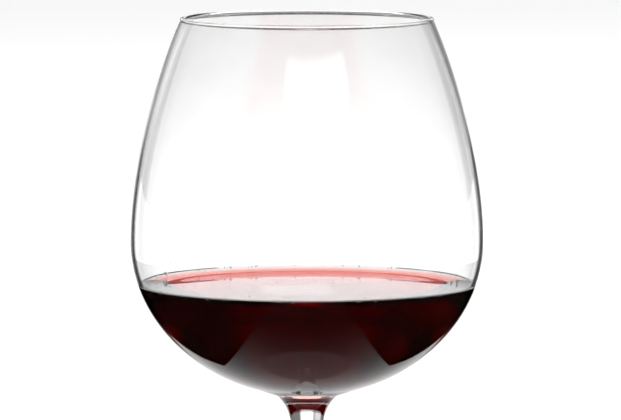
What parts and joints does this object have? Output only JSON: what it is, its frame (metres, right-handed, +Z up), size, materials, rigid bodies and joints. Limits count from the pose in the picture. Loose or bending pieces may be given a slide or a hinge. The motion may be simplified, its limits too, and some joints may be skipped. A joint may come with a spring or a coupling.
{
  "type": "glass of red wine",
  "caption": "Stemmed balloon glass with a thin wall, a wide round bowl that leans in to the rim, a slim stem and a round foot, part filled with red wine.",
  "frame": {"origin": "middle of the foot, on the surface that the glass stands on", "axes": "+Z up along the stem, towards the rim; the part is round about Z"},
  "size_m": [0.108, 0.108, 0.212],
  "materials": {
    "clear_glass": "clear polished crystal glass, even and colourless",
    "red_wine": "deep ruby red liquid, near black where it is thick and salmon pink in its thin edge"
  },
  "bodies": {
    "root": {"glass": "clear_glass", "wine": "red_wine"}
  },
  "joints": []
}
